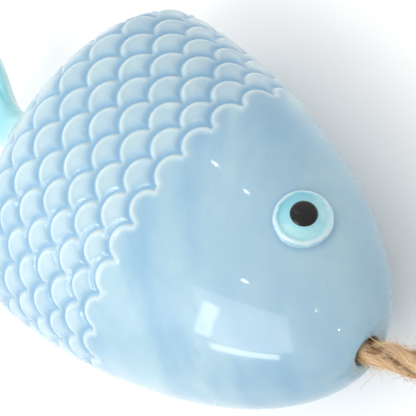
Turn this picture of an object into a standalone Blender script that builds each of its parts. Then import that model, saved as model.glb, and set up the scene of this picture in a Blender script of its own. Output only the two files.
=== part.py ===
"""Hollow glazed ceramic fish that lies on its left flank, with a jute hanging rope in its mouth.

Frame, in metres: +X runs from the tail to the mouth, +Y from the belly to the back, +Z is up.
The origin is under the middle of the fish, on the surface that it lies on.
"""
import math

import bmesh
import bpy
from mathutils import Matrix, Vector

# Body, measured from the flat mouth end backwards
FISH_LENGTH = 0.190
BODY_FRONT = 0.110
BODY_REAR = 0.039
BODY_HEIGHT = 0.105
BODY_THICKNESS = 0.070
NOSE_SHARE = 0.15
ROOT_SHARE = 0.125
ROOT_DROP = 0.007
FRONT_ROUNDNESS = 1.89
REAR_ROUNDNESS = 1.84
REAR_TAPER = 1.60
WALL = 0.0055
REAR_WALL = 0.010
FRONT_RINGS = 15
REAR_RINGS = 8
RING_POINTS = 40

# Ground foot on the left flank, and the hole in it
FOOT_CUT = 0.003
FOOT_HOLE_DIAMETER = 0.018
FOOT_HOLE_AHEAD = 0.015

# Rope, its mouth hole and its knots
ROPE_DIAMETER = 0.007
MOUTH_CLEARANCE = 0.0008
ROPE_SLIDE = 0.020
KNOT_STOP_GAP = 0.001
KNOT_HOLE_CLEARANCE = 0.0005
KNOT_LENGTH = 0.016
TUBE_STEP = 0.014

# Tail fin
TAIL_THICKNESS = 0.009
TAIL_SPREAD = 0.020
TAIL_NOTCH = 0.006
TAIL_WAIST = 0.85
TAIL_FLARE = 0.32
TAIL_LOBE = 0.84
TAIL_TIP = 0.70
TAIL_EDGE = 0.002

# Eyes
EYE_BACK = 0.0268
EYE_UP = 0.0210
EYE_DIAMETER = 0.0162
EYE_RISE = 0.0035
PUPIL_DIAMETER = 0.0074
PUPIL_RISE = 0.0007

# Coil that stores the spare rope
COIL_TURNS_WIDE = 2.5
COIL_RADIUS = 0.044
COIL_POINTS = 36
END_KNOT_OFFSET = 0.012
END_KNOT_DIAMETERS = 3.0
END_KNOT_LENGTH = 0.020

GAP = 0.0003
OVERCUT = 0.002

MOUTH_X = FISH_LENGTH / 2.0
TAIL_X = -FISH_LENGTH / 2.0
WIDEST_X = MOUTH_X - BODY_FRONT
ROOT_X = WIDEST_X - BODY_REAR
HALF_HEIGHT = BODY_HEIGHT / 2.0
HALF_THICKNESS = BODY_THICKNESS / 2.0
AXIS_Z = HALF_THICKNESS - FOOT_CUT
ROPE_RADIUS = ROPE_DIAMETER / 2.0
MOUTH_RADIUS = ROPE_RADIUS + MOUTH_CLEARANCE
KNOT_RADIUS = FOOT_HOLE_DIAMETER / 2.0 - KNOT_HOLE_CLEARANCE
KNOT_FRONT_X = MOUTH_X - WALL - KNOT_STOP_GAP - ROPE_SLIDE
COIL_OUTER = COIL_RADIUS + ROPE_RADIUS
COIL_INNER = COIL_OUTER - COIL_TURNS_WIDE * ROPE_DIAMETER
COIL_CENTRE = Vector((MOUTH_X + 0.077, -0.039))

# The rope's own route from the stopper knot to where it joins the coil
ROPE_ROUTE = [
    (KNOT_FRONT_X + GAP, 0.0, AXIS_Z),
    (MOUTH_X - 0.004, 0.0, AXIS_Z),
    (MOUTH_X + 0.001, 0.0003, AXIS_Z),
    (MOUTH_X + 0.006, 0.0022, AXIS_Z - 0.0003),
    (MOUTH_X + 0.013, 0.0042, AXIS_Z - 0.0014),
    (MOUTH_X + 0.021, 0.0064, AXIS_Z - 0.0038),
    (MOUTH_X + 0.031, 0.0088, AXIS_Z - 0.0080),
    (MOUTH_X + 0.043, 0.0100, AXIS_Z - 0.0165),
    (MOUTH_X + 0.0565, 0.0088, AXIS_Z - 0.0265),
]


def clear_scene():
    for item in list(bpy.data.objects):
        bpy.data.objects.remove(item, do_unlink=True)


def make_material(name, colour, roughness, metallic=0.0):
    material = bpy.data.materials.new(name)
    material.use_nodes = True
    shader = material.node_tree.nodes["Principled BSDF"]
    shader.inputs["Base Color"].default_value = (*colour, 1.0)
    shader.inputs["Roughness"].default_value = roughness
    shader.inputs["Metallic"].default_value = metallic
    return material


def add_object(name, mesh, material, parent=None, location=(0.0, 0.0, 0.0)):
    item = bpy.data.objects.new(name, mesh)
    bpy.context.scene.collection.objects.link(item)
    item.location = location
    item.parent = parent
    if material is not None:
        mesh.materials.append(material)
    return item


def add_empty(name, location):
    return add_object(name, None, None, location=location)


def mesh_from(name, bm, smooth=True):
    bmesh.ops.recalc_face_normals(bm, faces=bm.faces)
    mesh = bpy.data.meshes.new(name)
    bm.to_mesh(mesh)
    bm.free()
    if smooth:
        mesh.shade_smooth()
        mesh.set_sharp_from_angle(angle=math.radians(40.0))
    return mesh


def make_guide(item):
    item.hide_render = True
    item.display_type = "WIRE"


def cut(item, cutter):
    modifier = item.modifiers.new("cut_" + cutter.name, "BOOLEAN")
    modifier.operation = "DIFFERENCE"
    modifier.solver = "EXACT"
    modifier.object = cutter


def loft(rings):
    """A closed body through rings that all have the same number of points."""
    bm = bmesh.new()
    loops = [[bm.verts.new(point) for point in ring] for ring in rings]
    for near, far in zip(loops, loops[1:]):
        for index in range(len(near)):
            after = (index + 1) % len(near)
            bm.faces.new((near[index], near[after], far[after], far[index]))
    bm.faces.new(loops[0])
    bm.faces.new(loops[-1])
    return bm


def width_share(back, front, rear, root_share):
    """Share of the full width at a distance behind the mouth end."""
    if back < front:
        along = 1.0 - back / front
        end = 1.0 - NOSE_SHARE ** FRONT_ROUNDNESS
        return (1.0 - end * along ** FRONT_ROUNDNESS) ** (1.0 / FRONT_ROUNDNESS)
    along = min((back - front) / rear, 1.0)
    return root_share + (1.0 - root_share) * (1.0 - along ** REAR_ROUNDNESS) ** REAR_TAPER


def fish_form(inset, rear_inset, root_share):
    """The body's form, drawn in by inset on all sides, about the fish's own axis."""
    front = BODY_FRONT - inset
    rear = BODY_REAR - rear_inset
    half_height = HALF_HEIGHT - inset
    half_thickness = HALF_THICKNESS - inset
    backs = [front * (1.0 - math.cos(0.5 * math.pi * n / FRONT_RINGS)) for n in range(FRONT_RINGS)]
    backs += [front + rear * n / REAR_RINGS for n in range(REAR_RINGS + 1)]
    rings = []
    for back in backs:
        share = width_share(back, front, rear, root_share)
        bend = max(back - front, 0.0) / rear
        drop = ROOT_DROP * bend * bend * (3.0 - 2.0 * bend)
        ring = []
        for n in range(RING_POINTS):
            angle = 2.0 * math.pi * n / RING_POINTS
            side = half_height * share * math.cos(angle) - drop
            rise = half_thickness * share * math.sin(angle)
            ring.append((MOUTH_X - inset - back, side, rise))
        rings.append(ring)
    return loft(rings)


def surface_point(back, up, side):
    """Point and outward direction on the body, side +1 for the right flank and -1 for the left."""
    def height_at(b, u):
        share = width_share(b, BODY_FRONT, BODY_REAR, ROOT_SHARE)
        return HALF_THICKNESS * share * math.sqrt(1.0 - (u / (HALF_HEIGHT * share)) ** 2)

    step = 0.0005
    along = (height_at(back + step, up) - height_at(back - step, up)) / (2.0 * step)
    across = (height_at(back, up + step) - height_at(back, up - step)) / (2.0 * step)
    normal = Vector((along, -across, side)).normalized()
    return Vector((MOUTH_X - back, up, side * height_at(back, up))), normal


def dome(radius, rise, centre, direction):
    """A flattened ball whose short axis lies along direction."""
    bm = bmesh.new()
    bmesh.ops.create_uvsphere(bm, u_segments=24, v_segments=12, radius=1.0)
    bmesh.ops.scale(bm, vec=(radius, radius, rise), verts=bm.verts)
    turn = direction.to_track_quat("Z", "Y").to_matrix()
    bmesh.ops.transform(bm, matrix=Matrix.Translation(centre) @ turn.to_4x4(), verts=bm.verts)
    return bm


def rod(radius, start, end):
    """A round cutter from start to end."""
    bm = bmesh.new()
    span = end - start
    bmesh.ops.create_cone(bm, cap_ends=True, segments=32, radius1=radius, radius2=radius, depth=span.length)
    turn = span.to_track_quat("Z", "Y").to_matrix().to_4x4()
    bmesh.ops.transform(bm, matrix=Matrix.Translation((start + end) / 2.0) @ turn, verts=bm.verts)
    return bm


def add_guide(name, bm, parent):
    guide = add_object(name, mesh_from(name, bm), None, parent)
    make_guide(guide)
    return guide


def make_body(parent, glaze):
    """The hollow shell: one casting, open at the mouth and at the foot hole."""
    shell = add_object("body_shell", mesh_from("body_shell", fish_form(0.0, 0.0, ROOT_SHARE)), glaze, parent)
    cut(shell, add_guide("cavity_guide", fish_form(WALL, REAR_WALL, ROOT_SHARE), parent))

    mouth_start = Vector((MOUTH_X - WALL - OVERCUT, 0.0, 0.0))
    mouth_end = Vector((MOUTH_X + OVERCUT, 0.0, 0.0))
    cut(shell, add_guide("mouth_guide", rod(MOUTH_RADIUS, mouth_start, mouth_end), parent))

    foot = bmesh.new()
    bmesh.ops.create_cube(foot, size=1.0)
    bmesh.ops.scale(foot, vec=(FISH_LENGTH, BODY_HEIGHT, HALF_THICKNESS), verts=foot.verts)
    bmesh.ops.translate(foot, vec=(0.0, 0.0, -AXIS_Z - HALF_THICKNESS / 2.0), verts=foot.verts)
    cut(shell, add_guide("foot_guide", foot, parent))

    hole_x = WIDEST_X + FOOT_HOLE_AHEAD
    hole_start = Vector((hole_x, 0.0, -AXIS_Z - OVERCUT))
    hole_end = Vector((hole_x, 0.0, WALL + OVERCUT - HALF_THICKNESS))
    cut(shell, add_guide("foot_hole_guide", rod(FOOT_HOLE_DIAMETER / 2.0, hole_start, hole_end), parent))
    return shell


def bezier(start, pull_start, pull_end, end, count):
    """Points of one cubic curve, without its last point."""
    points = []
    for n in range(count):
        t = n / count
        s = 1.0 - t
        point = s ** 3 * Vector(start) + 3.0 * s * s * t * Vector(pull_start)
        point += 3.0 * s * t * t * Vector(pull_end) + t ** 3 * Vector(end)
        points.append(point)
    return points


def make_tail(parent, glaze):
    """The two-lobed fin, cut to its outline and rounded along its rim."""
    root = ROOT_X - GAP
    half_root = HALF_HEIGHT * ROOT_SHARE
    length = root - TAIL_X
    waist = (root - TAIL_FLARE * length, TAIL_WAIST * half_root)
    flare = (waist[0], 0.66 * TAIL_SPREAD)
    lobe = (root - TAIL_LOBE * length, TAIL_SPREAD)
    tip = (TAIL_X, TAIL_TIP * TAIL_SPREAD)
    notch = (TAIL_X + TAIL_NOTCH, 0.0)
    upper = bezier((root, half_root), waist, flare, lobe, 8)
    upper += bezier(lobe, ((lobe[0] + tip[0]) / 2.0, 1.05 * TAIL_SPREAD), (tip[0], 0.95 * TAIL_SPREAD), tip, 5)
    upper += bezier(tip, (tip[0], 0.42 * TAIL_SPREAD), (notch[0], 0.25 * TAIL_SPREAD), notch, 5)
    outline = upper + [Vector(notch)] + [Vector((p[0], -p[1])) for p in reversed(upper)]
    bm = bmesh.new()
    face = bm.faces.new([bm.verts.new((p[0], p[1] - ROOT_DROP, -TAIL_THICKNESS / 2.0)) for p in outline])
    raised = bmesh.ops.extrude_face_region(bm, geom=[face])["geom"]
    top = [item for item in raised if isinstance(item, bmesh.types.BMVert)]
    bmesh.ops.translate(bm, vec=(0.0, 0.0, TAIL_THICKNESS), verts=top)
    tail = add_object("tail_fin", mesh_from("tail_fin", bm), glaze, parent)
    rim = tail.modifiers.new("rim", "BEVEL")
    rim.width = TAIL_EDGE
    rim.segments = 2
    rim.limit_method = "ANGLE"
    rim.angle_limit = math.radians(60.0)
    return tail


def make_eye(side_name, side, parent, iris_glaze, pupil_glaze):
    """A domed clay disc on the head, and the raised pupil on top of it."""
    seat, normal = surface_point(EYE_BACK, EYE_UP, side)
    eye_radius = EYE_DIAMETER / 2.0
    pupil_radius = PUPIL_DIAMETER / 2.0
    name = "eye_" + side_name
    eye = add_object(name, mesh_from(name, dome(eye_radius, EYE_RISE, seat, normal)), iris_glaze, parent)
    cut(eye, bpy.data.objects["body_clearance_guide"])

    clear_dome = dome(eye_radius + GAP, EYE_RISE + GAP, seat, normal)
    clearance = add_guide(name + "_clearance_guide", clear_dome, parent)
    edge = EYE_RISE * math.sqrt(1.0 - (pupil_radius / eye_radius) ** 2)
    thickness = EYE_RISE + PUPIL_RISE - edge
    name = "pupil_" + side_name
    bead = dome(pupil_radius, thickness, seat + normal * edge, normal)
    pupil = add_object(name, mesh_from(name, bead), pupil_glaze, parent)
    cut(pupil, clearance)


def spline_point(points, place):
    """Point of the smooth curve through points, where place counts whole points."""
    index = min(int(place), len(points) - 2)
    t = place - index
    a = points[max(index - 1, 0)]
    b = points[index]
    c = points[index + 1]
    d = points[min(index + 2, len(points) - 1)]
    bend = 2.0 * a - 5.0 * b + 4.0 * c - d
    twist = 3.0 * (b - c) + d - a
    return 0.5 * (2.0 * b + (c - a) * t + bend * t * t + twist * t ** 3)


def even_points(points, step):
    """Points at about equal steps along the smooth curve through points."""
    fine = [spline_point(points, n / 20.0) for n in range(20 * (len(points) - 1) + 1)]
    lengths = [0.0]
    for near, far in zip(fine, fine[1:]):
        lengths.append(lengths[-1] + (far - near).length)
    count = max(2, round(lengths[-1] / step))
    picked = []
    for n in range(count + 1):
        goal = lengths[-1] * n / count
        picked.append(fine[min(range(len(fine)), key=lambda k: abs(lengths[k] - goal))])
    return picked


def make_rope_lead(parent, jute):
    """The stretch of rope from the stopper knot, out of the mouth and down to the coil."""
    curve = bpy.data.curves.new("rope_lead", "CURVE")
    curve.dimensions = "3D"
    curve.bevel_depth = ROPE_RADIUS
    curve.bevel_resolution = 2
    curve.use_fill_caps = True
    points = even_points([Vector(p) - parent.location for p in ROPE_ROUTE], TUBE_STEP)
    spline = curve.splines.new("POLY")
    spline.points.add(len(points) - 1)
    for target, point in zip(spline.points, points):
        target.co = (*point, 1.0)
    return add_object("rope_lead", curve, jute, parent)


def make_coil(parent, jute):
    """The outer shape of the flat coil: a turned ring that lies on the surface."""
    chamfer = ROPE_RADIUS / 2.0
    profile = [
        (COIL_INNER, chamfer),
        (COIL_INNER + chamfer, 0.0),
        (COIL_OUTER - chamfer, 0.0),
        (COIL_OUTER, chamfer),
        (COIL_OUTER, ROPE_DIAMETER - chamfer),
        (COIL_OUTER - chamfer, ROPE_DIAMETER),
        (COIL_INNER + chamfer, ROPE_DIAMETER),
        (COIL_INNER, ROPE_DIAMETER - chamfer),
    ]
    bm = bmesh.new()
    loops = []
    for n in range(COIL_POINTS):
        angle = 2.0 * math.pi * n / COIL_POINTS
        loops.append([bm.verts.new((r * math.cos(angle), r * math.sin(angle), z)) for r, z in profile])
    for n, near in enumerate(loops):
        far = loops[(n + 1) % COIL_POINTS]
        for k in range(len(profile)):
            after = (k + 1) % len(profile)
            bm.faces.new((near[k], near[after], far[after], far[k]))
    centre = Vector((*COIL_CENTRE, 0.0)) - parent.location
    return add_object("rope_coil", mesh_from("rope_coil", bm), jute, parent, centre)


def make_knot(name, radius, length, centre, parent, jute):
    """An overhand knot's outer shape, with its length along X."""
    ball = dome(radius, length / 2.0, Vector((0.0, 0.0, 0.0)), Vector((1.0, 0.0, 0.0)))
    return add_object(name, mesh_from(name, ball), jute, parent, centre - parent.location)


def build():
    clear_scene()
    body_glaze = make_material("blue_glaze", (0.38, 0.60, 0.74), 0.12)
    tail_glaze = make_material("aqua_glaze", (0.30, 0.66, 0.74), 0.12)
    iris_glaze = make_material("turquoise_glaze", (0.35, 0.70, 0.72), 0.10)
    pupil_glaze = make_material("black_glaze", (0.02, 0.02, 0.022), 0.06)
    jute = make_material("jute", (0.58, 0.38, 0.18), 0.90)

    fish = add_empty("fish", (0.0, 0.0, AXIS_Z))
    make_body(fish, body_glaze)
    make_tail(fish, tail_glaze)
    add_guide("body_clearance_guide", fish_form(-GAP, -GAP, ROOT_SHARE), fish)
    make_eye("right", 1.0, fish, iris_glaze, pupil_glaze)
    make_eye("left", -1.0, fish, iris_glaze, pupil_glaze)

    rope = add_empty("rope", (MOUTH_X, 0.0, AXIS_Z))
    make_rope_lead(rope, jute)
    make_coil(rope, jute)
    stopper_centre = Vector((KNOT_FRONT_X - KNOT_LENGTH / 2.0, 0.0, AXIS_Z))
    make_knot("stopper_knot", KNOT_RADIUS, KNOT_LENGTH, stopper_centre, rope, jute)
    end_radius = END_KNOT_DIAMETERS * ROPE_RADIUS
    end_centre = Vector((COIL_CENTRE.x - END_KNOT_OFFSET, COIL_CENTRE.y, end_radius))
    make_knot("end_knot", end_radius, END_KNOT_LENGTH, end_centre, rope, jute)


build()
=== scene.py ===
"""Looks of the glazed ceramic fish and its jute hanging rope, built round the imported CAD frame.

Metres throughout. +X is towards the mouth, +Y towards the back, +Z up from the surface it lies on.
"""

import math

import bpy
import numpy as np
from mathutils import Matrix, Vector


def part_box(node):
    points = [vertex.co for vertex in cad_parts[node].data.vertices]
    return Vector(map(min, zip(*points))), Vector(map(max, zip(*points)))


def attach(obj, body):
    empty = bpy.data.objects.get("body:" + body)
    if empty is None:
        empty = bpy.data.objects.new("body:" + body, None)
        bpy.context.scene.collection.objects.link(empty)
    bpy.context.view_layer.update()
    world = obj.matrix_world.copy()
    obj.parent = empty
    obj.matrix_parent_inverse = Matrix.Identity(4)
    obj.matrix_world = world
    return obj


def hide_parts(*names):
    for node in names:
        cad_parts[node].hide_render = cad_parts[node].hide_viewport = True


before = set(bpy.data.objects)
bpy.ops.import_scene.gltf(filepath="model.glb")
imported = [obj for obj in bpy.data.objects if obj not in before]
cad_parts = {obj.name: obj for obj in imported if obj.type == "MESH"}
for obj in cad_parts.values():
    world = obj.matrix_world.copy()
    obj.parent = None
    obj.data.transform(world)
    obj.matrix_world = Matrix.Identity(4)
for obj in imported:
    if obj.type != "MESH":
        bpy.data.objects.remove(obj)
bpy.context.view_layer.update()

MM = 0.001

# Places read from the frame
body_low, body_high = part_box("body_shell")
tail_low, tail_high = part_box("tail_fin")
knot_low, knot_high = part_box("stopper_knot")
end_low, end_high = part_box("end_knot")
coil_low, coil_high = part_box("rope_coil")
MOUTH_X = body_high.x
ROOT_X = body_low.x
AXIS_Z = (knot_low.z + knot_high.z) / 2.0
HALF_HEIGHT = body_high.y
HALF_THICKNESS = body_high.z - AXIS_Z

# The body's form, as in the CAD
BODY_FRONT = 0.110
BODY_REAR = MOUTH_X - ROOT_X - BODY_FRONT
NOSE_SHARE = 0.15
ROOT_SHARE = 0.125
ROOT_DROP = 7.0 * MM
FRONT_ROUNDNESS = 1.89
REAR_ROUNDNESS = 1.84
REAR_TAPER = 1.60
WALL = 5.5 * MM
REAR_WALL = 10.0 * MM
MOUTH_RADIUS = 4.3 * MM
FOOT_HOLE_RADIUS = 9.0 * MM
FOOT_HOLE_X = MOUTH_X - BODY_FRONT + 15.0 * MM
UNEVENNESS = 0.22 * MM
# How strongly the glaze is darkened towards the nose: partly painted shade, partly deeper glaze.
NOSE_SHADE = 0.55

# The lip's rings: mm behind the mouth end, mm wider than the hole, and how round they are
LIP = ((0.0, 0.9, 0.45), (0.05, 0.6, 0.80), (0.25, 0.2, 0.97),
       (0.7, 0.03, 1.0), (2.6, 0.0, 1.0), (5.5, 0.0, 1.0))

# Scales
SCALES_ROUND = 22
HEAD_LENGTH = 68.9 * MM
ROW_STEP = 6.65 * MM
ROW_TILT = 0.050
SCALE_PHASE = 0.185
SCALE_OVERSIZE = 1.05
SCALE_WEAR = 0.36
BRUSH_TURN = (0.3, 0.2, 0.9)
GROOVE_DEPTH = 0.60 * MM
RIM_HEIGHT = 0.30 * MM
DOME_HEIGHT = 0.22 * MM

# Tail, as in the CAD
TAIL_NOTCH = 6.0 * MM
TAIL_WAIST = 0.85
TAIL_FLARE = 0.32
TAIL_LOBE = 0.84
TAIL_TIP = 0.70

# Eyes, as in the CAD
EYE_BACK = 26.8 * MM
EYE_UP = 21.0 * MM
EYE_RADIUS = 8.1 * MM
PUPIL_RADIUS = 3.7 * MM
EYE_DRAPE_RADIUS = 45.0
EYE_RISE = 0.35 * MM
FAR_EYE_SINK = 0.7 * MM
PUPIL_OFF_CENTRE = (-0.15 * MM, 0.30 * MM, 0.0)

# Rope
ROPE_RADIUS = 3.5 * MM
KNOT_ROPE_RADIUS = 3.3 * MM
ROPE_LAY = 44.0 * MM
COIL_RADIUS = 44.0 * MM
COIL_PITCH = 8.5 * MM
COIL_TURNS = 1.5
ROPE_STEP = 0.7 * MM
FRAY_START = 24.0 * MM
LEAD_LENGTH = 130.0 * MM
coil_centre = (coil_low + coil_high) / 2.0

def smoothstep(low, high, value):
    t = np.clip((value - low) / (high - low), 0.0, 1.0)
    return t * t * (3.0 - 2.0 * t)


# ---------------------------------------------------------------- meshes

def add_mesh(name, points, faces, body, materials, replaces=()):
    """A smooth-shaded piece that rides on a body."""
    mesh = bpy.data.meshes.new(name)
    mesh.from_pydata([tuple(p) for p in points], [], faces)
    mesh.validate()
    mesh.shade_smooth()
    for material in materials:
        mesh.materials.append(material)
    piece = bpy.data.objects.new(name, mesh)
    bpy.context.scene.collection.objects.link(piece)
    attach(piece, body)
    if replaces:
        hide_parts(*replaces)
    return piece


def tube_faces(rings, around, cap_start=True, cap_end=True):
    """Faces through rings of points, closed at both ends by a fan round one extra point each."""
    faces = []
    for n in range(rings - 1):
        base = n * around
        for k in range(around):
            after = (k + 1) % around
            faces.append((base + k, base + after, base + around + after, base + around + k))
    first = rings * around
    if cap_start:
        faces += [((k + 1) % around, k, first) for k in range(around)]
        first += 1
    if cap_end:
        base = (rings - 1) * around
        faces += [(base + k, base + (k + 1) % around, first) for k in range(around)]
    return faces


def capped(rings):
    """Ring points as one list, with the middles of the first and last ring at its end."""
    flat = rings.reshape(-1, 3)
    return np.vstack([flat, rings[0].mean(0), rings[-1].mean(0)])


def set_attribute(piece, name, values):
    attribute = piece.data.attributes.new(name, "FLOAT", "POINT")
    attribute.data.foreach_set("value", np.asarray(values, np.float32))


def turned(name, profile, around, place, body, materials, replaces=()):
    """A turned solid from (radius, height) pairs running from the bottom middle to the top middle."""
    angles = np.linspace(0.0, 2.0 * math.pi, around, endpoint=False)
    rings = []
    for radius, height in profile[1:-1]:
        ring = np.stack([radius * np.cos(angles), radius * np.sin(angles), np.full(around, height)], 1)
        rings.append(ring)
    points = np.vstack([np.vstack(rings), [0.0, 0.0, profile[0][1]], [0.0, 0.0, profile[-1][1]]])
    piece = add_mesh(name, points, tube_faces(len(rings), around), body, materials, replaces)
    piece.matrix_world = place
    return piece


def smooth_curve(points, step):
    """Points at even steps along a smooth curve through points."""
    p = np.asarray(points, float)
    p = np.vstack([2.0 * p[0] - p[1], p, 2.0 * p[-1] - p[-2]])
    fine = []
    for a, b, c, d in zip(p, p[1:], p[2:], p[3:]):
        for t in np.linspace(0.0, 1.0, 40, endpoint=False):
            bend = 2.0 * a - 5.0 * b + 4.0 * c - d
            twist = 3.0 * (b - c) + d - a
            fine.append(0.5 * (2.0 * b + (c - a) * t + bend * t * t + twist * t ** 3))
    fine.append(p[-2])
    fine = np.array(fine)
    along = np.concatenate([[0.0], np.cumsum(np.linalg.norm(np.diff(fine, axis=0), axis=1))])
    count = max(2, int(round(along[-1] / step)))
    goals = np.linspace(0.0, along[-1], count + 1)
    return np.stack([np.interp(goals, along, fine[:, k]) for k in range(3)], 1)


def path_frames(path):
    """Directions along the path, and two directions across it that don't twist."""
    ahead = np.gradient(path, axis=0)
    ahead /= np.linalg.norm(ahead, axis=1, keepdims=True)
    side = np.cross(ahead[0], (0.0, 0.0, 1.0))
    if np.linalg.norm(side) < 0.1:
        side = np.cross(ahead[0], (0.0, 1.0, 0.0))
    sides = []
    for direction in ahead:
        side = side - direction * np.dot(side, direction)
        side = side / np.linalg.norm(side)
        sides.append(side)
    sides = np.array(sides)
    return ahead, sides, np.cross(ahead, sides)


# ---------------------------------------------------------------- materials

class Shader:
    """A node material with a Principled shader, and short calls for the nodes used here."""

    def __init__(self, name, **sockets):
        self.material = bpy.data.materials.new(name)
        self.material.use_nodes = True
        self.tree = self.material.node_tree
        self.principled = self.tree.nodes["Principled BSDF"]
        for socket, value in sockets.items():
            self.principled.inputs[socket.replace("_", " ")].default_value = value

    def node(self, kind, inputs=(), **settings):
        made = self.tree.nodes.new(kind)
        for key, value in settings.items():
            setattr(made, key, value)
        for key, value in dict(inputs).items():
            self.put(made.inputs[key], value)
        return made

    def put(self, socket, value):
        if isinstance(value, bpy.types.NodeSocket):
            self.tree.links.new(value, socket)
        else:
            socket.default_value = value

    def attribute(self, name, output="Fac"):
        return self.node("ShaderNodeAttribute", attribute_name=name).outputs[output]

    def place(self):
        return self.node("ShaderNodeTexCoord").outputs["Object"]

    def noise(self, scale, detail=3.0, roughness=0.5, vector=None):
        inputs = {"Scale": scale, "Detail": detail, "Roughness": roughness}
        inputs["Vector"] = vector if vector is not None else self.place()
        return self.node("ShaderNodeTexNoise", inputs).outputs["Fac"]

    def range(self, value, low, high, to_low=0.0, to_high=1.0):
        inputs = {"Value": value, "From Min": low, "From Max": high, "To Min": to_low, "To Max": to_high}
        return self.node("ShaderNodeMapRange", inputs, interpolation_type="SMOOTHSTEP").outputs["Result"]

    def math(self, operation, a, b=0.0):
        made = self.node("ShaderNodeMath", operation=operation)
        self.put(made.inputs[0], a)
        self.put(made.inputs[1], b)
        return made.outputs[0]

    def mix(self, share, a, b, blend="MIX"):
        made = self.node("ShaderNodeMix", data_type="RGBA", blend_type=blend)
        self.put(made.inputs[0], share)
        self.put(made.inputs[6], a)
        self.put(made.inputs[7], b)
        return made.outputs[2]

    def turned_place(self, angles):
        return self.node("ShaderNodeMapping", {"Vector": self.place(), "Rotation": angles}).outputs["Vector"]

    def stretch(self, vector, scale):
        return self.node("ShaderNodeMapping", {"Vector": vector, "Scale": scale}).outputs["Vector"]

    def bump(self, height, strength, distance):
        made = self.node("ShaderNodeBump", {"Height": height, "Strength": strength, "Distance": distance})
        self.tree.links.new(made.outputs["Normal"], self.principled.inputs["Normal"])

    def colour(self, value):
        self.put(self.principled.inputs["Base Color"], value)

    def roughness(self, value):
        self.put(self.principled.inputs["Roughness"], value)


def srgb(red, green, blue):
    """A display colour, 0 to 255, as the linear colour that shaders take."""
    def linear(value):
        value /= 255.0
        return value / 12.92 if value <= 0.04045 else ((value + 0.055) / 1.055) ** 2.4

    return (linear(red), linear(green), linear(blue), 1.0)


def glaze(name, plain, cloudy, streaked, deep, pooled, worn):
    """Glossy glaze: deeper where it pools, paler where it runs thin over edges, bare on the foot. It is also
    darker towards the nose, partly as painted shade and partly as deeper glaze, and the pale rim colour is
    painted light on the tail root.
    """
    made = Shader(name, Coat_Weight=0.5, Coat_Roughness=0.05, Coat_IOR=1.5, IOR=1.45)
    cloud = made.range(made.noise(26.0, 3.0, 0.5), 0.30, 0.70)
    base = made.mix(cloud, plain, cloudy)
    brushed = made.stretch(made.turned_place(BRUSH_TURN), (14.0, 60.0, 30.0))
    streak = made.range(made.noise(1.0, 3.0, 0.5, brushed), 0.42, 0.72, 0.0, 0.9)
    base = made.mix(streak, base, streaked)
    # Darker in patches towards the nose, where the deep attribute is set: partly painted shade, partly deeper
    # glaze.
    nose_shade_and_deep_glaze = made.range(made.noise(55.0, 3.0), 0.25, 0.6, 0.65, 1.0)
    nose_shade_and_deep_glaze = made.math("MULTIPLY", made.attribute("deep"), nose_shade_and_deep_glaze)
    base = made.mix(nose_shade_and_deep_glaze, base, deep)
    fine = made.range(made.noise(300.0, 5.0, 0.6), 0.30, 0.70)
    base = made.mix(made.math("MULTIPLY", fine, 0.12), base, pooled)
    pool = made.math("MULTIPLY", made.attribute("pool"), made.range(fine, 0.0, 1.0, 0.78, 1.0))
    base = made.mix(pool, base, pooled)
    # The rim colour paints the glaze thinning over edges; on the tail root it is painted light, standing in
    # for the lit root.
    edge = made.math("MULTIPLY", made.attribute("rim"), made.range(fine, 0.0, 1.0, 0.70, 1.0))
    base = made.mix(edge, base, worn)
    speck = made.range(made.noise(640.0, 2.0, 0.4), 0.785, 0.81)
    base = made.mix(made.math("MULTIPLY", speck, 0.4), base, srgb(95, 120, 130))
    clay = made.mix(made.noise(900.0, 4.0, 0.7), srgb(226, 216, 198), srgb(205, 192, 170))
    bare = made.attribute("bare")
    made.colour(made.mix(bare, base, clay))
    gloss = made.range(made.noise(60.0, 3.0), 0.3, 0.7, 0.20, 0.32)
    made.roughness(made.math("MAXIMUM", gloss, made.math("MULTIPLY", bare, 0.85)))
    made.bump(made.noise(110.0, 3.0, 0.5), 0.06, 0.0005)
    return made.material


def iris_glaze():
    """Pale translucent rim, aqua inside, deeper turquoise on the side towards the tail."""
    made = Shader("iris_glaze", Coat_Weight=0.8, Coat_Roughness=0.02, Coat_IOR=1.5, IOR=1.5)
    split = made.node("ShaderNodeSeparateXYZ", {"Vector": made.place()})
    flat = made.node("ShaderNodeCombineXYZ", {"X": split.outputs["X"], "Y": split.outputs["Y"]})
    radius = made.node("ShaderNodeVectorMath", {0: flat.outputs[0]}, operation="LENGTH").outputs["Value"]
    wander = made.range(made.noise(300.0, 3.0), 0.3, 0.7, -0.35 * MM, 0.35 * MM)
    radius = made.math("ADD", radius, wander)
    streaks = made.range(made.noise(420.0, 4.0, 0.6), 0.35, 0.65)
    iris = made.mix(streaks, srgb(163, 208, 216), srgb(148, 201, 211))
    tailward = made.math("SUBTRACT", made.math("MULTIPLY", split.outputs["Y"], 0.35), split.outputs["X"])
    tailward = made.math("ADD", tailward, made.math("MULTIPLY", wander, 2.5))
    iris = made.mix(made.range(tailward, -0.5 * MM, 5.5 * MM, 0.0, 0.9), iris, srgb(108, 182, 201))
    near_pupil = made.range(radius, PUPIL_RADIUS, PUPIL_RADIUS + 1.2 * MM, 0.45, 0.0)
    iris = made.mix(near_pupil, iris, srgb(120, 192, 206))
    rim = made.range(radius, EYE_RADIUS - 1.5 * MM, EYE_RADIUS - 0.6 * MM, 0.0, 0.9)
    iris = made.mix(rim, iris, srgb(188, 212, 217))
    wall = made.range(radius, EYE_RADIUS - 0.45 * MM, EYE_RADIUS - 0.1 * MM, 0.0, 0.85)
    made.colour(made.mix(wall, iris, srgb(150, 186, 204)))
    made.roughness(made.range(streaks, 0.0, 1.0, 0.12, 0.20))
    made.bump(made.noise(180.0, 3.0), 0.08, 0.0004)
    return made.material


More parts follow.
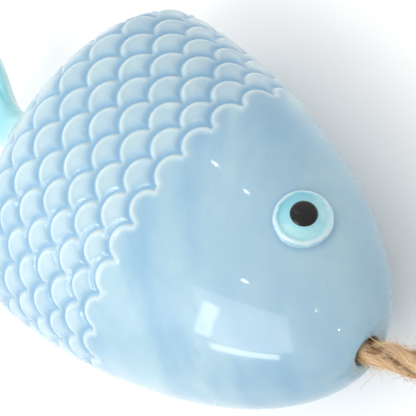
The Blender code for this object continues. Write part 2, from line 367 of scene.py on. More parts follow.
def pupil_glaze():
    made = Shader("pupil_glaze", Coat_Weight=1.0, Coat_Roughness=0.02, Coat_IOR=1.38, Specular_IOR_Level=0.05)
    tone = made.range(made.noise(500.0, 4.0), 0.35, 0.70)
    made.colour(made.mix(tone, srgb(8, 8, 9), srgb(18, 17, 19)))
    made.roughness(made.range(tone, 0.0, 1.0, 0.10, 0.22))
    made.bump(made.noise(220.0, 3.0), 0.08, 0.0003)
    return made.material


def jute():
    """Natural jute: streaks of light and dark fibre along each strand, and painted shade in the grooves
    between the strands.
    """
    made = Shader("jute", Sheen_Weight=0.30, Sheen_Roughness=0.6, IOR=1.45, Specular_IOR_Level=0.2)
    made.principled.inputs["Sheen Tint"].default_value = srgb(240, 220, 184)
    lie = made.attribute("lie", "Vector")
    streak = made.noise(1.0, 4.0, 0.65, made.stretch(lie, (150.0, 3200.0, 1.0)))
    patch = made.noise(1.0, 2.0, 0.5, made.stretch(lie, (90.0, 700.0, 1.0)))
    hair = made.noise(1.0, 2.0, 0.5, made.stretch(lie, (300.0, 8000.0, 1.0)))
    base = made.mix(made.range(streak, 0.36, 0.64), srgb(228, 186, 138), srgb(246, 216, 176))
    base = made.mix(made.range(patch, 0.50, 0.74, 0.0, 0.6), base, srgb(200, 150, 102))
    base = made.mix(made.range(hair, 0.56, 0.72, 0.0, 0.8), base, srgb(254, 234, 204))
    dark = made.noise(1.0, 3.0, 0.6, made.stretch(lie, (420.0, 5200.0, 1.0)))
    base = made.mix(made.range(dark, 0.60, 0.70, 0.0, 0.8), base, srgb(146, 98, 60))
    # Painted shade: darker in the grooves between the strands, by the deep attribute.
    deep = made.attribute("deep")
    made.colour(made.mix(made.math("MULTIPLY", deep, 0.75), base, srgb(104, 66, 38)))
    made.roughness(made.range(streak, 0.3, 0.7, 0.80, 0.95))
    made.bump(made.math("ADD", streak, made.math("MULTIPLY", hair, 0.6)), 1.0, 0.0007)
    return made.material


def fibre():
    made = Shader("jute_fibre", Roughness=0.7, IOR=1.45, Specular_IOR_Level=0.3)
    tone = made.range(made.noise(220.0, 3.0), 0.35, 0.65)
    base = made.mix(tone, srgb(224, 184, 136), srgb(252, 234, 206))
    made.colour(made.mix(made.range(made.noise(240.0, 2.0), 0.52, 0.62), base, srgb(150, 104, 62)))
    return made.material


def table_surface():
    made = Shader("table", IOR=1.45, Specular_IOR_Level=0.3)
    tone = made.range(made.noise(9.0, 4.0), 0.3, 0.7)
    made.colour(made.mix(tone, srgb(240, 241, 243), srgb(245, 246, 247)))
    made.roughness(made.range(tone, 0.0, 1.0, 0.38, 0.46))
    return made.material


# ---------------------------------------------------------------- body

def width_share(back, front, rear):
    """Share of the full width at distances behind the mouth end."""
    ahead = np.clip(1.0 - back / front, 0.0, 1.0)
    end = 1.0 - NOSE_SHARE ** FRONT_ROUNDNESS
    nose = (1.0 - end * ahead ** FRONT_ROUNDNESS) ** (1.0 / FRONT_ROUNDNESS)
    behind = np.clip((back - front) / rear, 0.0, 1.0)
    tail = ROOT_SHARE + (1.0 - ROOT_SHARE) * (1.0 - behind ** REAR_ROUNDNESS) ** REAR_TAPER
    return np.where(back < front, nose, tail)


def root_drop(back, front, rear):
    """How far the body's middle drops towards the belly on its way to the tail root."""
    bend = np.clip((back - front) / rear, 0.0, 1.0)
    return ROOT_DROP * bend * bend * (3.0 - 2.0 * bend)


def ellipse_angles(shares):
    """Angles, from the top of the flank towards the back, at shares of the way round the body."""
    fine = np.linspace(0.0, 2.0 * math.pi, 4001)
    speed = np.hypot(HALF_HEIGHT * np.cos(fine), HALF_THICKNESS * np.sin(fine))
    run = np.concatenate([[0.0], np.cumsum((speed[1:] + speed[:-1]) / 2.0)])
    return np.interp(shares, run / run[-1], fine), run[-1] * (fine[1] - fine[0])


def scale_jitter(row, column, kind):
    """A steady hand-made wander from -1 to 1 for one scale."""
    seed = row * 12.9898 + (column % SCALES_ROUND) * 78.233 + kind * 37.719
    value = np.sin(seed) * 43758.5453
    return 2.0 * (value - np.floor(value)) - 1.0


def row_edge(row, across, down, pitch, step):
    """For a row of scales: how far down its free edge lies, and where a point is on its nearest scale."""
    stagger = 0.5 * (row % 2)
    half = 0.5 * pitch
    best = None
    for offset in (0.0, 1.0):
        column = np.floor(across - stagger) + offset
        middle = column + stagger + 0.03 * scale_jitter(row, column, 1)
        radius = half * SCALE_OVERSIZE * (1.0 + 0.03 * scale_jitter(row, column, 2))
        tip = row + 0.05 * scale_jitter(row, column, 3)
        sideways = np.abs(across - middle) * pitch
        bottom = tip - radius / step
        notch = np.sqrt(np.maximum(radius ** 2 - half ** 2, 0.0))
        reach = np.sqrt(np.clip(radius ** 2 - sideways ** 2, 0.0, None)) / step
        edge = bottom + np.where(sideways < radius, reach, -1.0)
        along = (down - bottom) * step
        on_arc = along * half >= sideways * notch
        to_notch = np.where(sideways <= 1.1 * half, np.hypot(half - sideways, notch - along), -99.0 * MM)
        inside = np.where(on_arc, radius - np.hypot(sideways, along), to_notch)
        if best is None:
            best = [edge, inside, sideways, radius]
        else:
            better = edge > best[0]
            best[0] = np.where(better, edge, best[0])
            best[1] = np.maximum(inside, best[1])
            best[2] = np.where(better, sideways, best[2])
            best[3] = np.where(better, radius, best[3])
    return best


def scale_relief(across, down, pitch, step):
    """Height of the relief, and how pooled and how worn the glaze is, at each point."""
    row = np.maximum(np.ceil(down), 0.0)
    edge = row_edge(row, across, down, pitch, step)[0]
    row = np.where(down > edge, row + 1.0, row)
    edge, inside, sideways, radius = row_edge(row, across, down, pitch, step)
    outside = -row_edge(row - 1.0, across, down, pitch, step)[1]
    head = row < 0.5
    size = pitch / (12.0 * MM)

    inside = np.maximum(inside, 0.0)
    outside = np.where(head, 99.0 * MM, np.maximum(outside, 0.0))

    wall = smoothstep(0.0, 1.1 * MM * size, inside)
    hollow = np.exp(-(outside / (1.2 * MM * size)) ** 2)
    slope = np.exp(-(outside / (3.2 * MM * size)) ** 2)
    rim = np.exp(-((inside - 1.3 * MM * size) / (0.95 * MM * size)) ** 2)
    dome = np.where(head, 0.0, 1.0 - (1.0 - np.clip(inside / radius, 0.0, 1.0)) ** 2)
    face = RIM_HEIGHT * rim + DOME_HEIGHT * dome - 0.30 * GROOVE_DEPTH * slope
    height = (-GROOVE_DEPTH + (GROOVE_DEPTH + face) * wall * (1.0 - hollow)) * np.minimum(size, 1.0)

    pool = np.exp(-(outside / (1.9 * MM * size)) ** 1.5)
    pool = np.maximum(pool, 0.8 * (1.0 - smoothstep(0.0, 0.7 * MM * size, inside)))
    worn = 0.9 * np.exp(-((inside - 1.25 * MM * size) / (1.1 * MM * size)) ** 2)
    worn = worn * (1.0 - 0.35 * np.clip(sideways / radius, 0.0, 1.0) ** 2)
    worn = np.maximum(worn, np.where(head, 0.0, SCALE_WEAR)) * (1.0 - pool)
    return height, pool, worn


def slow_waves(points, wavelength, count):
    """Gentle unevenness from -1 to 1, as on a hand-finished casting."""
    steady = np.random.default_rng(11)
    total = np.zeros(len(points))
    for _ in range(count):
        direction = steady.normal(size=3)
        direction /= np.linalg.norm(direction)
        stretch = steady.uniform(0.7, 1.5)
        start = steady.uniform(0.0, 6.28)
        total += np.sin(points @ direction * 2.0 * math.pi / (wavelength * stretch) + start)
    return total / count


def eye_place(side):
    """The eye's seat on the head, with its own Z out of the surface and its Y towards the back."""
    def height_at(back, up):
        share = float(width_share(np.array(back), BODY_FRONT, BODY_REAR))
        return HALF_THICKNESS * share * math.sqrt(1.0 - (up / (HALF_HEIGHT * share)) ** 2)

    step = 0.5 * MM
    along = (height_at(EYE_BACK + step, EYE_UP) - height_at(EYE_BACK - step, EYE_UP)) / (2.0 * step)
    across = (height_at(EYE_BACK, EYE_UP + step) - height_at(EYE_BACK, EYE_UP - step)) / (2.0 * step)
    out = Vector((along, -across, side)).normalized()
    right = Vector((0.0, 1.0, 0.0)).cross(out).normalized()
    turn = Matrix((right, out.cross(right), out)).transposed().to_4x4()
    seat = (MOUTH_X - EYE_BACK, EYE_UP, AXIS_Z + side * height_at(EYE_BACK, EYE_UP))
    return Matrix.Translation(seat) @ turn


def make_body(material, around=560, head_step=1.1 * MM, scale_step=0.46 * MM):
    """The shell: inside, mouth, lip and scaled outside in one closed skin, with the foot hole cut."""
    fine = np.linspace(0.0, BODY_FRONT + BODY_REAR, 6000)
    share = width_share(fine, BODY_FRONT, BODY_REAR)
    middle_radius = 0.5 * (HALF_HEIGHT + HALF_THICKNESS) * share
    run = np.concatenate([[0.0], np.cumsum(np.hypot(np.diff(fine), np.diff(middle_radius)))])
    head_run = np.interp(HEAD_LENGTH - 10.0 * MM, fine, run)
    head_runs = np.arange(0.0, head_run, head_step)
    runs = np.concatenate([head_runs, np.arange(head_run, run[-1], scale_step), run[-1:]])
    backs = np.interp(runs, run, fine)

    angles, girth = ellipse_angles(np.arange(around) / around)
    shares = width_share(backs, BODY_FRONT, BODY_REAR)
    drops = root_drop(backs, BODY_FRONT, BODY_REAR)
    rings = np.zeros((len(backs), around, 3))
    rings[:, :, 0] = (MOUTH_X - backs)[:, None]
    rings[:, :, 1] = shares[:, None] * HALF_HEIGHT * np.sin(angles)[None, :] - drops[:, None]
    rings[:, :, 2] = AXIS_Z + shares[:, None] * HALF_THICKNESS * np.cos(angles)[None, :]

    ahead = np.gradient(rings, axis=0)
    aside = np.roll(rings, -1, 1) - np.roll(rings, 1, 1)
    normals = np.cross(ahead, aside)
    normals /= np.linalg.norm(normals, axis=2, keepdims=True) + 1e-12
    outward = rings - rings.mean(1, keepdims=True)
    flip = np.sign(np.sum(normals * outward, axis=2, keepdims=True))
    normals *= np.where(flip == 0.0, 1.0, flip)

    pitch = girth * np.interp(backs, fine, share) / SCALES_ROUND
    fine_pitch = girth * share / SCALES_ROUND
    fine_step = np.where(fine < BODY_FRONT, ROW_STEP, np.minimum(ROW_STEP, 0.56 * fine_pitch))
    surface = np.where(fine[:-1] < BODY_FRONT, np.diff(fine), np.diff(run))
    rows = np.concatenate([[0.0], np.cumsum(surface / fine_step[:-1])])
    rows -= np.interp(HEAD_LENGTH, fine, rows)
    tilted = backs[:, None] + ROW_TILT * rings[:, :, 1] * smoothstep(0.15, 0.5, shares)[:, None]
    down = np.interp(tilted, fine, rows)
    across = np.broadcast_to(np.arange(around) / around * SCALES_ROUND - SCALE_PHASE, down.shape)
    wide_pitch = np.broadcast_to(pitch[:, None], down.shape)
    step = np.interp(tilted, fine, fine_step)
    height, pool, worn = scale_relief(across, down, wide_pitch, step)
    fade = 1.0 - smoothstep(0.90, 0.985, backs / (BODY_FRONT + BODY_REAR))
    height = height * fade[:, None]
    pool = pool * fade[:, None]
    worn = worn * fade[:, None]

    flat = rings.reshape(-1, 3)
    uneven = UNEVENNESS * slow_waves(flat, 34.0 * MM, 7)
    lip_fade = smoothstep(2.0 * MM, 12.0 * MM, backs)[:, None]
    rings = rings + normals * (height + uneven.reshape(height.shape) * lip_fade)[:, :, None]

    for side in (1.0, -1.0):
        local = (flat - np.array(eye_place(side).translation)) @ np.array(eye_place(side).to_3x3())
        ring_gap = np.hypot(local[:, 0], local[:, 1]).reshape(height.shape) - EYE_RADIUS
        near = np.abs(local[:, 2]).reshape(height.shape) < 6.0 * MM
        pool = np.maximum(pool, np.where(near, 0.45 * np.exp(-(ring_gap / (0.9 * MM)) ** 2), 0.0))

    lip = []
    for back, flare, blend in LIP:
        circle = MOUTH_RADIUS + flare * MM
        wide = circle * blend + (1.0 - blend) * NOSE_SHARE * HALF_HEIGHT
        deep = circle * blend + (1.0 - blend) * NOSE_SHARE * HALF_THICKNESS
        lip.append(np.stack([np.full(around, MOUTH_X - back * MM), wide * np.sin(angles),
                             AXIS_Z + deep * np.cos(angles)], 1))
    inner_front = BODY_FRONT - WALL
    inner_rear = BODY_REAR - REAR_WALL
    inside = []
    for part in np.linspace(0.04, 1.0, 22):
        back = part ** 1.5 * (inner_front + inner_rear)
        inner = float(width_share(np.array(back), inner_front, inner_rear))
        inner_drop = float(root_drop(np.array(back), inner_front, inner_rear))
        inside.append(np.stack([np.full(around, MOUTH_X - WALL - back),
                                inner * (HALF_HEIGHT - WALL) * np.sin(angles) - inner_drop,
                                AXIS_Z + inner * (HALF_THICKNESS - WALL) * np.cos(angles)], 1))
    hidden = inside[::-1] + lip[::-1]
    rings = np.concatenate([np.array(hidden), rings])
    rings[:, :, 2] = np.maximum(rings[:, :, 2], 0.0)
    points = capped(rings)
    piece = add_mesh("fish_body", points, tube_faces(len(rings), around), "fish", [material],
                     ["body_shell"])

    def spread(values, hidden_value):
        filled = np.concatenate([np.full((len(hidden), around), hidden_value), values]).ravel()
        return np.concatenate([filled, [hidden_value, 0.0]])

    on_foot = (rings[len(hidden):, :, 2] < 0.02 * MM).astype(float)
    lip_bare = np.zeros((len(lip), around))
    bare = np.concatenate([np.ones((len(inside), around)), lip_bare, on_foot]).ravel()
    set_attribute(piece, "pool", spread(pool, 0.0))
    set_attribute(piece, "rim", spread(worn, 0.0))
    # Darker towards the nose, fading out 10 to 50 mm behind the mouth: partly painted shade, partly deeper
    # glaze.
    nose = NOSE_SHADE * (1.0 - smoothstep(10.0 * MM, 50.0 * MM, backs))
    set_attribute(piece, "deep", spread(np.broadcast_to(nose[:, None], height.shape), NOSE_SHADE))
    set_attribute(piece, "bare", np.concatenate([bare, [1.0, 0.0]]))
    cut_hole(piece, FOOT_HOLE_X, FOOT_HOLE_RADIUS)
    return piece


def cut_hole(piece, x, radius):
    """A round hole straight up through the foot's wall."""
    bpy.ops.mesh.primitive_cylinder_add(vertices=96, radius=radius, depth=0.024, location=(x, 0.0, 0.0))
    cutter = bpy.context.object
    cut = piece.modifiers.new("foot_hole", "BOOLEAN")
    cut.operation = "DIFFERENCE"
    cut.solver = "EXACT"
    cut.object = cutter
    bpy.context.view_layer.update()
    graph = bpy.context.evaluated_depsgraph_get()
    mesh = bpy.data.meshes.new_from_object(piece.evaluated_get(graph), depsgraph=graph)
    piece.modifiers.clear()
    piece.data = mesh
    bpy.data.objects.remove(cutter)


# ---------------------------------------------------------------- tail

def bezier(start, pull_start, pull_end, end, count):
    t = np.linspace(0.0, 1.0, count, endpoint=False)[:, None]
    s = 1.0 - t
    a, b, c, d = (np.array(p, float) for p in (start, pull_start, pull_end, end))
    return s ** 3 * a + 3.0 * s * s * t * b + 3.0 * s * t * t * c + t ** 3 * d


def make_tail(material):
    """The fin: a two-lobed plate, thick at its root, with shallow rays and a soft rim."""
    root = ROOT_X
    length = root - tail_low.x
    spread = (tail_high.y - tail_low.y) / 2.0
    half_root = HALF_HEIGHT * ROOT_SHARE
    waist = (root - TAIL_FLARE * length, TAIL_WAIST * half_root)
    lobe = (root - TAIL_LOBE * length, spread)
    tip = (tail_low.x, TAIL_TIP * spread)
    notch = (tail_low.x + TAIL_NOTCH, 0.0)
    start = root + 2.5 * MM
    upper = [
        bezier((start, 0.0), (start, 0.5 * half_root), (start, 0.95 * half_root), (root, half_root), 14),
        bezier((root, half_root), waist, (waist[0], 0.66 * spread), lobe, 46),
        bezier(lobe, ((lobe[0] + tip[0]) / 2.0, 1.05 * spread), (tip[0], 0.95 * spread), tip, 30),
        bezier(tip, (tip[0], 0.42 * spread), (notch[0], 0.25 * spread), notch, 34),
    ]
    upper = np.vstack(upper + [[notch]])
    outline = np.vstack([upper, (upper * (1.0, -1.0))[-2:0:-1]])
    around = len(outline)
    middle = np.array([root - 0.42 * length, 0.0])

    levels = 1.0 - (1.0 - np.linspace(0.0, 1.0, 46)[1:]) ** 1.7
    flat = middle + levels[:, None, None] * (outline - middle)[None]
    distance = (root - flat[:, :, 0]) / length
    half = 6.1 * MM * (1.0 - smoothstep(-0.05, 0.55, distance)) + 2.9 * MM * smoothstep(-0.05, 0.55, distance)
    half *= 1.0 - 0.25 * smoothstep(0.5, 1.0, distance)
    across_root = np.clip(np.abs(flat[:, :, 1]) / half_root, 0.0, 1.0)
    rounding = np.where(distance < 0.30, np.sqrt(np.maximum(1.0 - across_root ** 2, 0.0)), 1.0)
    neck = 1.0 - smoothstep(0.0, 0.30, distance)
    edge = np.sqrt(np.clip(1.0 - levels ** 5.0, 0.0, 1.0))[:, None] * np.ones(around)[None]
    edge = edge * (1.0 - neck) + np.minimum(edge, np.maximum(rounding, 0.05)) * neck

    hub = np.array([root + 9.0 * MM, 0.0])
    angle = np.arctan2(flat[:, :, 1], hub[0] - flat[:, :, 0])
    radius = np.hypot(flat[:, :, 1], hub[0] - flat[:, :, 0])
    spacing = math.radians(9.5)
    gap = np.abs((angle / spacing + 0.5) % 1.0 - 0.5) * spacing * radius
    ray_fade = smoothstep(0.12, 0.4, distance) * (1.0 - smoothstep(0.86, 0.97, levels)[:, None])
    ray = np.exp(-(gap / (0.7 * MM)) ** 2) * ray_fade
    half = half * edge - 0.42 * MM * ray
    half = np.maximum(half, 0.0)

    flat[:, :, 1] -= ROOT_DROP
    top = np.dstack([flat, AXIS_Z + half])
    bottom = np.dstack([flat, AXIS_Z - half])[::-1][1:]
    rings = np.concatenate([top, bottom])
    points = capped(rings)
    faces = [face[::-1] for face in tube_faces(len(rings), around)]
    piece = add_mesh("fish_tail", points, faces, "fish", [material], ["tail_fin"])
    worn = np.exp(-((1.0 - levels) / 0.035) ** 2)[:, None] * smoothstep(0.02, 0.2, distance)
    # The tail root is painted paler too: painted light, standing in for the lit root, not glaze wear.
    worn = np.maximum(worn, 0.85 * (1.0 - smoothstep(-0.02, 0.10, distance)))
    pool = 0.9 * ray

    def both(values):
        return np.concatenate([np.concatenate([values, values[::-1][1:]]).ravel(), [0.0, 0.0]])

    set_attribute(piece, "pool", both(pool))
    set_attribute(piece, "rim", both(worn))
    set_attribute(piece, "deep", np.zeros(len(points)))
    set_attribute(piece, "bare", np.zeros(len(points)))
    return piece


# ---------------------------------------------------------------- eyes

def make_eye(side_name, side, iris, pupil):
    """A thick glazed button draped on the head, with a raised bead for the pupil."""
    place = eye_place(side)
    drape = 1.0 / (2.0 * EYE_DRAPE_RADIUS)
    button = [(0.0, -3.2), (6.6, -3.2), (7.6, -2.2), (7.95, -1.0), (8.08, 0.1), (8.04, 0.95), (7.82, 1.55),
              (7.40, 1.92), (6.95, 2.00), (6.55, 1.90), (6.2, 1.82), (5.8, 1.90), (5.2, 2.10), (4.4, 2.44),
              (3.4, 2.78), (2.2, 3.02), (1.0, 3.13), (0.0, 3.15)]
    profile = [(r * MM, (h - drape * r * r) * MM) for r, h in smooth_profile(button)]
    place = place @ Matrix.Translation((0.0, 0.0, EYE_RISE if side > 0.0 else -FAR_EYE_SINK))
    turned("fish_eye_" + side_name, profile, 96, place, "fish", [iris], ["eye_" + side_name])
    bead = [(0.0, 1.4), (3.4, 1.4), (3.65, 2.0), (3.70, 2.45), (3.58, 2.85), (3.2, 3.20), (2.5, 3.46),
            (1.5, 3.66), (0.7, 3.75), (0.0, 3.76)]
    profile = [(r * MM, h * MM) for r, h in smooth_profile(bead)]
    place = place @ Matrix.Translation(PUPIL_OFF_CENTRE)
    turned("fish_pupil_" + side_name, profile, 64, place, "fish", [pupil],
           ["pupil_" + side_name])


def smooth_profile(pairs):
    """The same outline with a point between each two, for rounder turned solids."""
    pairs = np.array(pairs)
    padded = np.vstack([2.0 * pairs[0] - pairs[1], pairs, 2.0 * pairs[-1] - pairs[-2]])
    between = (9.0 * (padded[1:-2] + padded[2:-1]) - padded[:-3] - padded[3:]) / 16.0
    out = np.empty((2 * len(pairs) - 1, 2))
    out[0::2] = pairs
    out[1::2] = between
    out[:, 0] = np.maximum(out[:, 0], 0.0)
    return out


# ---------------------------------------------------------------- rope

def rope_route():
    """The rope's centreline, from the stopper knot out of the mouth, down, round the coil and to its end."""
    route = [
        (knot_high.x + 0.3 * MM, 0.0, AXIS_Z),
        (MOUTH_X - 0.004, 0.0, AXIS_Z),
        (MOUTH_X + 0.001, 0.0003, AXIS_Z),
        (MOUTH_X + 0.006, 0.0022, AXIS_Z - 0.0003),
        (MOUTH_X + 0.013, 0.0042, AXIS_Z - 0.0014),
        (MOUTH_X + 0.021, 0.0064, AXIS_Z - 0.0038),
        (MOUTH_X + 0.031, 0.0088, AXIS_Z - 0.0080),
        (MOUTH_X + 0.043, 0.0100, AXIS_Z - 0.0165),
        (MOUTH_X + 0.0565, 0.0088, AXIS_Z - 0.0265),
    ]
    turn_points = 16
    for n in range(1, int(COIL_TURNS * turn_points) + 1):
        part = n / turn_points
        angle = 0.5 * math.pi - 2.0 * math.pi * part
        radius = COIL_RADIUS - COIL_PITCH * part
        route.append((coil_centre.x + radius * math.cos(angle), coil_centre.y + radius * math.sin(angle),
                      ROPE_RADIUS))
    knot = (end_low + end_high) / 2.0
    route.append((knot.x - 0.001, coil_centre.y - 0.0240, ROPE_RADIUS + 0.0005))
    route.append((knot.x - 0.001, knot.y - 0.006, knot.z - 0.004))
    return route


def rope_rings(path, radius, around=36, lay=ROPE_LAY):
    """Surface rings of a three-strand rope, with how the fibres lie and how deep each point is."""
    ahead, sides, ups = path_frames(path)
    along = np.concatenate([[0.0], np.cumsum(np.linalg.norm(np.diff(path, axis=0), axis=1))])
    angles = np.linspace(0.0, 2.0 * math.pi, around, endpoint=False)
    turn = 2.0 * math.pi * along[:, None] / lay
    local = (angles[None, :] - turn) % (2.0 * math.pi / 3.0) - math.pi / 3.0
    crown = np.clip(np.cos(1.5 * local), 0.0, 1.0) ** 0.75
    yarns = np.sin(local * 15.0 + along[:, None] / (1.5 * MM)) * 0.035
    lumps = 0.02 * np.sin(along[:, None] / (2.9 * MM) + 3.0 * angles[None, :])
    reach = radius * (0.73 + 0.25 * crown + yarns * crown + lumps)
    across = np.cos(angles)[None, :, None] * sides[:, None, :]
    across = across + np.sin(angles)[None, :, None] * ups[:, None, :]
    rings = path[:, None, :] + reach[:, :, None] * across
    strand = np.floor(((angles[None, :] - turn) / (2.0 * math.pi / 3.0)))
    lie = np.stack([along[:, None] + 0.0 * local, local * radius, strand % 3.0], 2)
    return rings, lie, 1.0 - crown


def add_rope(name, path, radius, material, replaces, around=36, lay=ROPE_LAY):
    rings, lie, deep = rope_rings(path, radius, around, lay)
    rings[:, :, 2] = np.maximum(rings[:, :, 2], 0.0)
    faces = tube_faces(len(rings), around)
    piece = add_mesh(name, capped(rings), faces, "rope", [material], replaces)
    vectors = np.vstack([lie.reshape(-1, 3), lie[0].mean(0), lie[-1].mean(0)])
    attribute = piece.data.attributes.new("lie", "FLOAT_VECTOR", "POINT")
    attribute.data.foreach_set("vector", vectors.astype(np.float32).ravel())
    # The depth into the grooves between strands, which the jute shader darkens as painted shade.
    set_attribute(piece, "deep", np.concatenate([deep.ravel(), [1.0, 1.0]]))
    return piece


def knot_path(centre, size, axis_turn):
    """A tight overhand knot's centreline about centre."""
    t = np.linspace(0.0, 2.0 * math.pi, 90)
    wide = np.sin(t) + 2.0 * np.sin(2.0 * t)
    high = np.cos(t) - 2.0 * np.cos(2.0 * t)
    curve = np.stack([wide, high, -np.sin(3.0 * t)], 1) / 3.0 * size
    turn = np.array(Matrix.Rotation(axis_turn, 3, "Y"))
    return smooth_curve((curve @ turn.T + np.array(centre))[:-2], 0.8 * MM)


def add_fibres(name, path, radius, count, reach, material, seed, thickness=0.055 * MM, lift=1.0):
    """Loose hairs that lift off the rope's surface, each a thin tapered three-sided thread."""
    steady = np.random.default_rng(seed)
    ahead, sides, ups = path_frames(path)
    points = []
    faces = []
    segments = 6
    for _ in range(count):
        n = steady.integers(1, len(path) - 1)
        angle = steady.uniform(0.0, 2.0 * math.pi)
        out = math.cos(angle) * sides[n] + math.sin(angle) * ups[n]
        lean = ahead[n] * steady.choice([-1.0, 1.0]) * steady.uniform(0.4, 2.2)
        heading = out * steady.uniform(0.25, 1.0) * lift + lean + 0.4 * steady.normal(size=3) * lift ** 0.5
        heading /= np.linalg.norm(heading)
        curl = steady.normal(size=3) * 0.35
        length = reach * steady.uniform(0.35, 1.0) ** 1.5
        spot = path[n] + out * radius * (0.86 if lift > 0.5 else 0.97)
        start = len(points)
        for k in range(segments + 1):
            part = k / segments
            size = thickness * (1.0 - 0.75 * part)
            side = np.cross(heading, (0.31, 0.52, 0.79))
            side /= np.linalg.norm(side)
            up = np.cross(heading, side)
            for corner in range(3):
                turn = 2.0 * math.pi * corner / 3.0
                point = spot + size * (math.cos(turn) * side + math.sin(turn) * up)
                points.append((point[0], point[1], max(point[2], 0.0)))
            heading = heading + curl / segments
            heading /= np.linalg.norm(heading)
            spot = spot + heading * length / segments
        for k in range(segments):
            base = start + 3 * k
            for corner in range(3):
                after = (corner + 1) % 3
                faces.append((base + corner, base + after, base + 3 + after, base + 3 + corner))
        faces.append((start + 2, start + 1, start))
        last = start + 3 * segments
        faces.append((last, last + 1, last + 2))
    return add_mesh(name, points, faces, "rope", [material])


def make_rope(jute_material, fibre_material):
    route = rope_route()
    path = smooth_curve(route, ROPE_STEP)
    rope = add_rope("jute_rope", path, ROPE_RADIUS, jute_material, ["rope_lead", "rope_coil"])

    knot = (end_low + end_high) / 2.0
    knot_line = knot_path(knot, (end_high.z - end_low.z) / 2.0 - KNOT_ROPE_RADIUS, 0.5 * math.pi)
    end_knot = add_rope("jute_end_knot", knot_line, KNOT_ROPE_RADIUS, jute_material, ["end_knot"])
    stopper = (knot_low + knot_high) / 2.0
    stopper_line = knot_path(stopper, (knot_high.z - knot_low.z) / 2.0 - KNOT_ROPE_RADIUS, 0.5 * math.pi)
    stopper_knot = add_rope("jute_stopper_knot", stopper_line, KNOT_ROPE_RADIUS, jute_material,
                            ["stopper_knot"])

    mouth = int(FRAY_START / ROPE_STEP)
    lead_end = int(LEAD_LENGTH / ROPE_STEP)
    hairs = [
        add_fibres("jute_fibres_mouth", path[mouth:lead_end], ROPE_RADIUS, 1500, 8.5 * MM, fibre_material, 3),
        add_fibres("jute_threads_mouth", path[mouth:lead_end], ROPE_RADIUS, 900, 9.0 * MM, fibre_material, 6,
                   0.085 * MM, 0.16),
        add_fibres("jute_fibres_coil", path[lead_end:], ROPE_RADIUS, 1300, 5.0 * MM, fibre_material, 4),
        add_fibres("jute_fibres_knot", knot_line, KNOT_ROPE_RADIUS, 160, 4.0 * MM, fibre_material, 5),
    ]


# ---------------------------------------------------------------- camera, light and floor

IMAGE_SIZE = 416
SENSOR = 36.0
CAMERA_DISTANCE = 0.450
CAMERA_TARGET = Vector((MOUTH_X - 0.0692, 0.0075, AXIS_Z))
TOWARDS_HEAD = 0.662
TOWARDS_BACK = 0.092
CAMERA_ROLL = 0.598
FOCAL_SHARE = 3.514


def make_camera():
    """The camera looks down on the right flank from the head's side, with the mouth to the lower right."""
    back = Vector((math.sin(TOWARDS_HEAD) * math.cos(TOWARDS_BACK), math.sin(TOWARDS_BACK),
                   math.cos(TOWARDS_HEAD) * math.cos(TOWARDS_BACK)))
    level = (Vector((1.0, 0.0, 0.0)) - back * back.x).normalized()
    upright = back.cross(level)
    right = level * math.cos(CAMERA_ROLL) + upright * math.sin(CAMERA_ROLL)
    up = upright * math.cos(CAMERA_ROLL) - level * math.sin(CAMERA_ROLL)
    data = bpy.data.cameras.new("camera")
    data.sensor_width = SENSOR
    data.lens = SENSOR * FOCAL_SHARE * CAMERA_DISTANCE * 1000.0 / IMAGE_SIZE
    data.clip_start = 0.01
    camera = bpy.data.objects.new("camera", data)
    bpy.context.scene.collection.objects.link(camera)
    turn = Matrix((right, up, back)).transposed().to_4x4()
    camera.matrix_world = Matrix.Translation(CAMERA_TARGET + back * CAMERA_DISTANCE) @ turn
    bpy.context.scene.camera = camera


def add_softbox(name, direction, distance, width, height, power, colour):
    """A soft rectangular light that faces the head from a direction."""
    data = bpy.data.lights.new(name, "AREA")
    data.shape = "RECTANGLE"
    data.size = width
    data.size_y = height
    data.energy = power
    data.color = colour
    light = bpy.data.objects.new(name, data)
    bpy.context.scene.collection.objects.link(light)
    light.location = Vector((0.03, 0.0, AXIS_Z)) + Vector(direction).normalized() * distance
    light.rotation_euler = Vector(direction).to_track_quat("Z", "Y").to_euler()


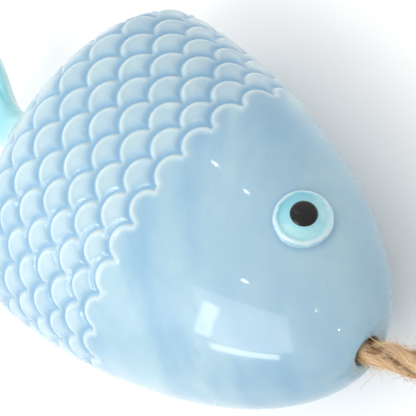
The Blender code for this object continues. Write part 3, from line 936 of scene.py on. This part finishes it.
def make_studio():
    size = 3.0
    mesh = bpy.data.meshes.new("floor")
    mesh.from_pydata([(-size, -size, 0.0), (size, -size, 0.0), (size, size, 0.0), (-size, size, 0.0)], [],
                     [(0, 1, 2, 3)])
    mesh.materials.append(table_surface())
    floor = bpy.data.objects.new("floor", mesh)
    bpy.context.scene.collection.objects.link(floor)
    floor.location.z = -0.00005

    add_softbox("window", (0.20, -0.52, 0.83), 1.1, 0.55, 0.60, 3.0, (1.0, 0.99, 0.97))
    add_softbox("window_edge", (0.20, -0.76, 0.60), 1.1, 0.42, 0.09, 1.25, (1.0, 0.99, 0.97))
    add_softbox("window_side", (-0.015, -0.60, 0.80), 1.1, 0.07, 0.42, 0.9, (1.0, 0.99, 0.97))
    add_softbox("side", (-0.75, -0.75, 0.8), 1.3, 1.3, 1.1, 2.6, (0.90, 0.96, 1.0))
    for n, direction in enumerate(((0.06, -0.12, 0.99), (-0.27, 0.52, 0.81), (-0.10, 0.52, 0.85),
                                   (0.52, 0.05, 0.85), (0.80, 0.0, 0.60))):
        add_softbox("lamp_" + str(n), direction, 1.2, 0.035, 0.03, 0.10, (1.0, 0.98, 0.95))
    world = bpy.data.worlds.new("studio")
    world.use_nodes = True
    tree = world.node_tree
    place = tree.nodes.new("ShaderNodeTexCoord")
    split = tree.nodes.new("ShaderNodeSeparateXYZ")
    fade = tree.nodes.new("ShaderNodeMapRange")
    tree.links.new(place.outputs["Generated"], split.inputs["Vector"])
    tree.links.new(split.outputs["X"], fade.inputs["Value"])
    for socket, value in (("From Min", -0.6), ("From Max", 1.0), ("To Min", 1.14), ("To Max", 0.82)):
        fade.inputs[socket].default_value = value
    background = tree.nodes["Background"]
    background.inputs["Color"].default_value = (1.0, 0.985, 0.965, 1.0)
    tree.links.new(fade.outputs["Result"], background.inputs["Strength"])
    bpy.context.scene.world = world
    bpy.context.scene.view_settings.view_transform = "Standard"


make_camera()
make_studio()
rope_material = jute()
make_rope(rope_material, fibre())
body_material = glaze("body_glaze", srgb(150, 184, 201), srgb(178, 205, 213), srgb(128, 169, 196),
                      srgb(124, 158, 180), srgb(112, 162, 198), srgb(202, 218, 220))
tail_material = glaze("tail_glaze", srgb(138, 206, 218), srgb(154, 214, 222), srgb(120, 194, 210),
                      srgb(120, 194, 210), srgb(96, 180, 202), srgb(200, 230, 232))
make_body(body_material)
make_tail(tail_material)
iris_material = iris_glaze()
pupil_material = pupil_glaze()
make_eye("right", 1.0, iris_material, pupil_material)
make_eye("left", -1.0, iris_material, pupil_material)
